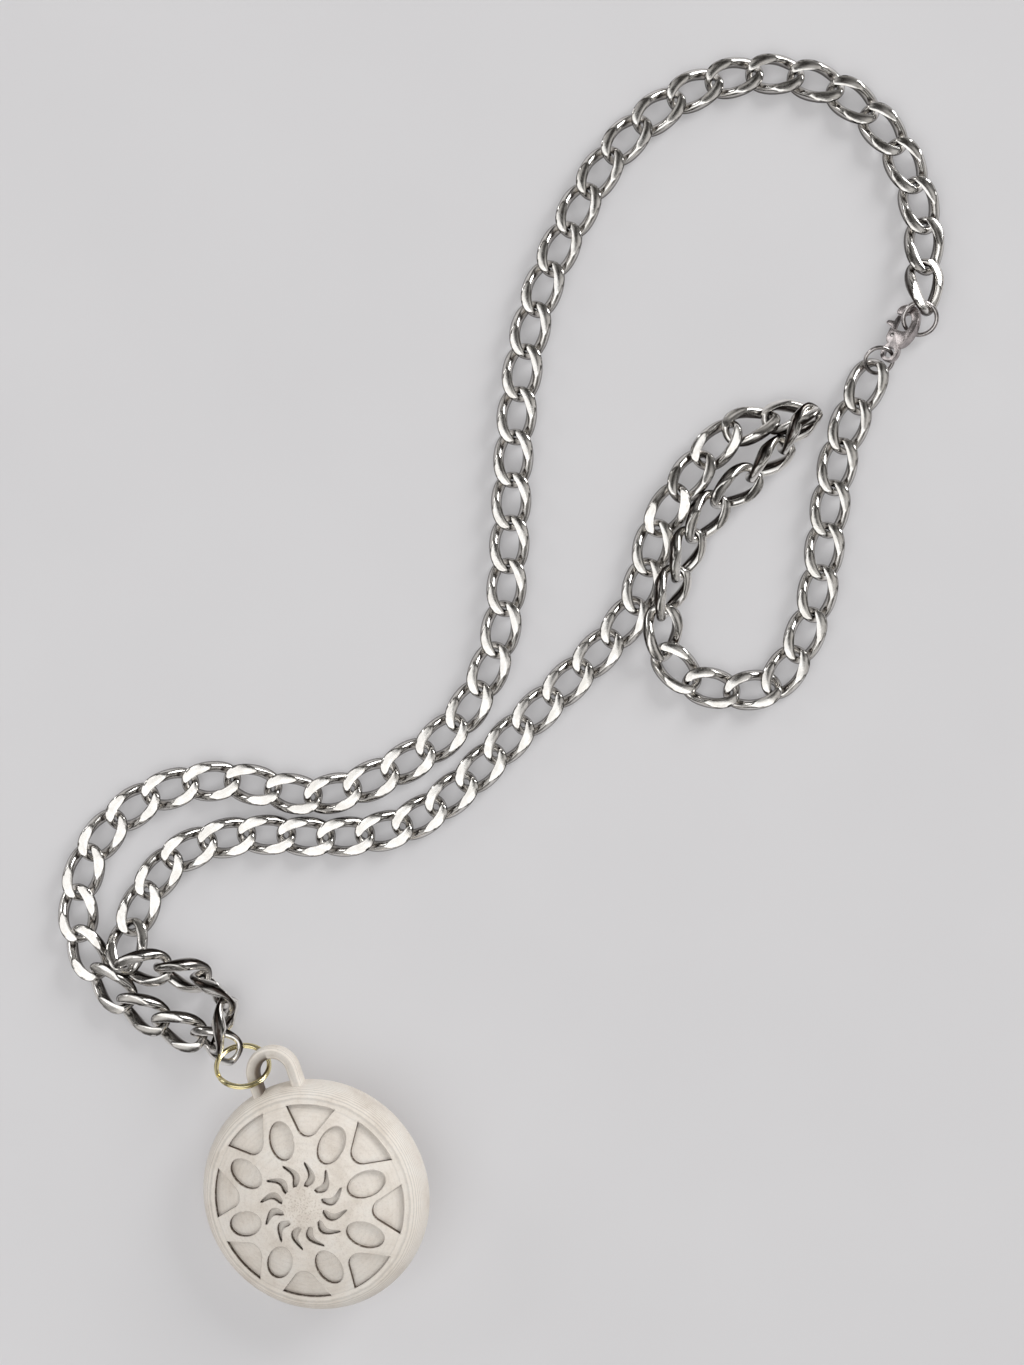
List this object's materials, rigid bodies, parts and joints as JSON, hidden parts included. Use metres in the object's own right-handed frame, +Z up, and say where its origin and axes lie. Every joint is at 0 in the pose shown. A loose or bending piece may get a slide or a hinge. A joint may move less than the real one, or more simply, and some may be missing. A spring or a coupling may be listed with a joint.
{
  "type": "pendant necklace",
  "caption": "Pendant necklace: a flat-cut curb chain with a lobster clasp, and a domed round pendant with a carved sun pattern that hangs from a brass split ring.",
  "frame": {"origin": "centre of the laid-out necklace's bounding box, on the table it lies on", "axes": "+Z up from the table, +Y along the longest side of the laid-out chain, from the pendant to the far bend, +X to the right seen from above"},
  "size_m": [0.141, 0.1989, 0.0149],
  "materials": {
    "polished_steel": "polished stainless steel, bright and smooth",
    "brass_wire": "pale yellow polished wire",
    "printed_cream": "off-white printed plastic with fine layer lines, satin"
  },
  "bodies": {
    "chain": {"strand_a_links_01": "polished_steel", "strand_a_links_02": "polished_steel", "strand_a_links_03": "polished_steel", "strand_a_links_04": "polished_steel", "strand_a_links_05": "polished_steel", "strand_a_links_06": "polished_steel", "strand_a_links_07": "polished_steel", "strand_a_links_08": "polished_steel", "strand_a_links_09": "polished_steel", "strand_a_links_10": "polished_steel", "strand_a_links_11": "polished_steel", "strand_a_links_12": "polished_steel", "strand_a_links_13": "polished_steel", "strand_a_links_14": "polished_steel", "strand_a_links_15": "polished_steel", "strand_a_links_16": "polished_steel", "strand_a_links_17": "polished_steel", "strand_a_links_18": "polished_steel", "strand_a_links_19": "polished_steel", "strand_a_links_20": "polished_steel", "strand_a_links_21": "polished_steel", "strand_b_links_01": "polished_steel", "strand_b_links_02": "polished_steel", "strand_b_links_03": "polished_steel", "strand_b_links_04": "polished_steel", "strand_b_links_05": "polished_steel", "strand_b_links_06": "polished_steel", "strand_b_links_07": "polished_steel", "strand_b_links_08": "polished_steel", "strand_b_links_09": "polished_steel", "strand_b_links_10": "polished_steel", "strand_b_links_11": "polished_steel", "strand_b_links_12": "polished_steel", "strand_b_links_13": "polished_steel", "strand_b_links_14": "polished_steel", "strand_b_links_15": "polished_steel", "strand_b_links_16": "polished_steel", "strand_b_links_17": "polished_steel", "strand_b_links_18": "polished_steel", "strand_b_links_19": "polished_steel", "strand_b_links_20": "polished_steel", "strand_b_links_21": "polished_steel", "strand_b_links_22": "polished_steel"},
    "centre_link": {"centre_link": "polished_steel"},
    "split_ring": {"split_ring": "brass_wire"},
    "pendant": {"pendant": "printed_cream"},
    "catch_ring": {"catch_ring": "polished_steel"},
    "clasp_ring": {"clasp_ring": "polished_steel"},
    "clasp": {"clasp_body": "polished_steel", "clasp_pin": "polished_steel"},
    "clasp_lever": {"clasp_lever": "polished_steel"}
  },
  "joints": [
    {"name": "centre_link_swing", "type": "hinge", "parent": "chain", "child": "centre_link", "pos_m": [-0.04725, -0.05737, 0.00298], "axis": [0.3252, 0.8506, 0.4133], "range_deg": [-4, 20]},
    {"name": "split_ring_swing", "type": "hinge", "parent": "centre_link", "child": "split_ring", "pos_m": [-0.04141, -0.05938, 0.0049], "axis": [0.128, 0.8389, 0.529], "range_deg": [-6, 45]},
    {"name": "pendant_swing", "type": "hinge", "parent": "split_ring", "child": "pendant", "pos_m": [-0.03674, -0.06192, 0.00744], "axis": [0.3061, 0.6451, -0.7001], "range_deg": [-30, 25]},
    {"name": "catch_ring_swing", "type": "hinge", "parent": "chain", "child": "catch_ring", "pos_m": [0.06714, 0.05809, 0.00382], "axis": [-0.9178, 0.119, 0.3789], "range_deg": [-8, 3]},
    {"name": "clasp_ring_swing", "type": "hinge", "parent": "chain", "child": "clasp_ring", "pos_m": [0.05991, 0.05047, 0.00118], "axis": [0.9089, -0.417, 0], "range_deg": [-1, 1]},
    {"name": "clasp_swing", "type": "hinge", "parent": "clasp_ring", "child": "clasp", "pos_m": [0.06204, 0.05185, 0.00247], "axis": [-0.5878, 0.6718, 0.4508], "range_deg": [-1, 2]},
    {"name": "clasp_lever_swing", "type": "hinge", "parent": "clasp", "child": "clasp_lever", "pos_m": [0.06266, 0.05446, 0.00185], "axis": [0.487, -0.314, -0.815], "range_deg": [0, 10], "stiffness_Nm_per_rad": 0.002}
  ]
}
